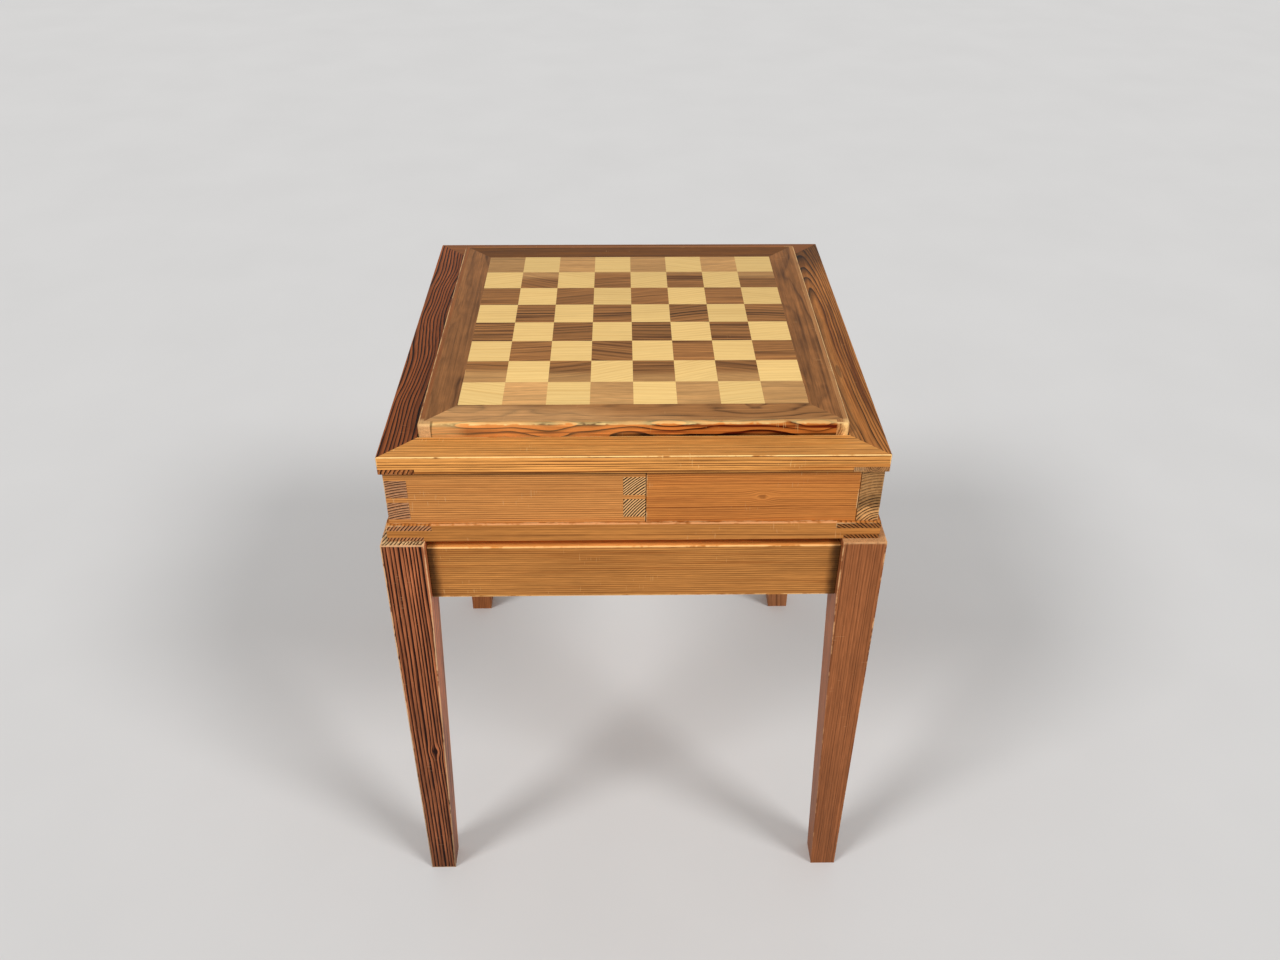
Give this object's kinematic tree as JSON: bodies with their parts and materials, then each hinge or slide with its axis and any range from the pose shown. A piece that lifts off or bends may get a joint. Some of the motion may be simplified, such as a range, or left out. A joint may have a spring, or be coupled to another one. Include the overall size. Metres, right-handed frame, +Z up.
{
  "type": "chess table",
  "caption": "Square game table: inlaid chessboard lies in a mitred frame over a case with a drawer for each player, on a base of tapered legs with aprons.",
  "frame": {"origin": "on the floor, under the middle of the table", "axes": "+Z up, +X to the right of the player at the front, front at -Y"},
  "size_m": [0.463, 0.463, 0.581],
  "materials": {
    "leg_pine": "dark oiled pine, satin",
    "apron_pine": "honey pine, satin",
    "dowel_wood": "plain beech",
    "nail_steel": "plain steel nail",
    "plywood": "bare plywood",
    "side_rail_pine": "reddish-brown oiled pine with strong stripes",
    "top_rail_pine": "honey-orange pine, satin",
    "base_rail_pine": "honey-orange pine, satin",
    "lipping_pine": "worn pale pine",
    "walnut_border": "satin walnut veneer",
    "maple": "satin maple veneer",
    "walnut": "satin walnut veneer",
    "core_wood": "blockboard",
    "backing_veneer": "plain veneer",
    "drawer_front_pine": "honey-red pine, satin",
    "drawer_pine": "bare pine",
    "case_pine": "honey-orange pine, satin"
  },
  "bodies": {
    "table": {"base_front_rail": "base_rail_pine", "base_left_rail": "base_rail_pine", "base_rear_rail": "base_rail_pine", "base_right_rail": "base_rail_pine", "case_divider": "case_pine", "centre_bearer": "base_rail_pine", "centre_kicker": "base_rail_pine", "floor_pins": "nail_steel", "front_apron": "apron_pine", "front_left_leg": "leg_pine", "front_left_panel": "case_pine", "front_right_leg": "leg_pine", "left_apron": "apron_pine", "left_case_side": "case_pine", "left_floor_panel": "plywood", "leg_dowels": "dowel_wood", "rear_apron": "apron_pine", "rear_left_leg": "leg_pine", "rear_right_leg": "leg_pine", "rear_right_panel": "case_pine", "right_apron": "apron_pine", "right_case_side": "case_pine", "right_floor_panel": "plywood", "top_front_rail": "top_rail_pine", "top_left_rail": "side_rail_pine", "top_rear_rail": "top_rail_pine", "top_right_rail": "side_rail_pine", "tray_panel": "plywood"},
    "board": {"board_backing": "backing_veneer", "board_core": "core_wood", "dark_squares": "walnut", "front_border": "walnut_border", "front_lipping": "lipping_pine", "left_border": "walnut_border", "left_lipping": "lipping_pine", "light_squares": "maple", "rear_border": "walnut_border", "rear_lipping": "lipping_pine", "right_border": "walnut_border", "right_lipping": "lipping_pine"},
    "front_drawer": {"front_drawer_back": "drawer_pine", "front_drawer_bottom": "plywood", "front_drawer_front": "drawer_front_pine", "front_drawer_left_side": "drawer_pine", "front_drawer_pins": "nail_steel", "front_drawer_right_side": "drawer_pine"},
    "rear_drawer": {"rear_drawer_back": "drawer_pine", "rear_drawer_bottom": "plywood", "rear_drawer_front": "drawer_front_pine", "rear_drawer_left_side": "drawer_pine", "rear_drawer_pins": "nail_steel", "rear_drawer_right_side": "drawer_pine"}
  },
  "joints": [
    {"name": "board_lift", "type": "slide", "parent": "table", "child": "board", "axis": [0, 0, 1], "range_m": [0, 0.08]},
    {"name": "front_drawer_slide", "type": "slide", "parent": "table", "child": "front_drawer", "axis": [0, -1, 0], "range_m": [0, 0.3]},
    {"name": "rear_drawer_slide", "type": "slide", "parent": "table", "child": "rear_drawer", "axis": [0, 1, 0], "range_m": [0, 0.3]}
  ]
}
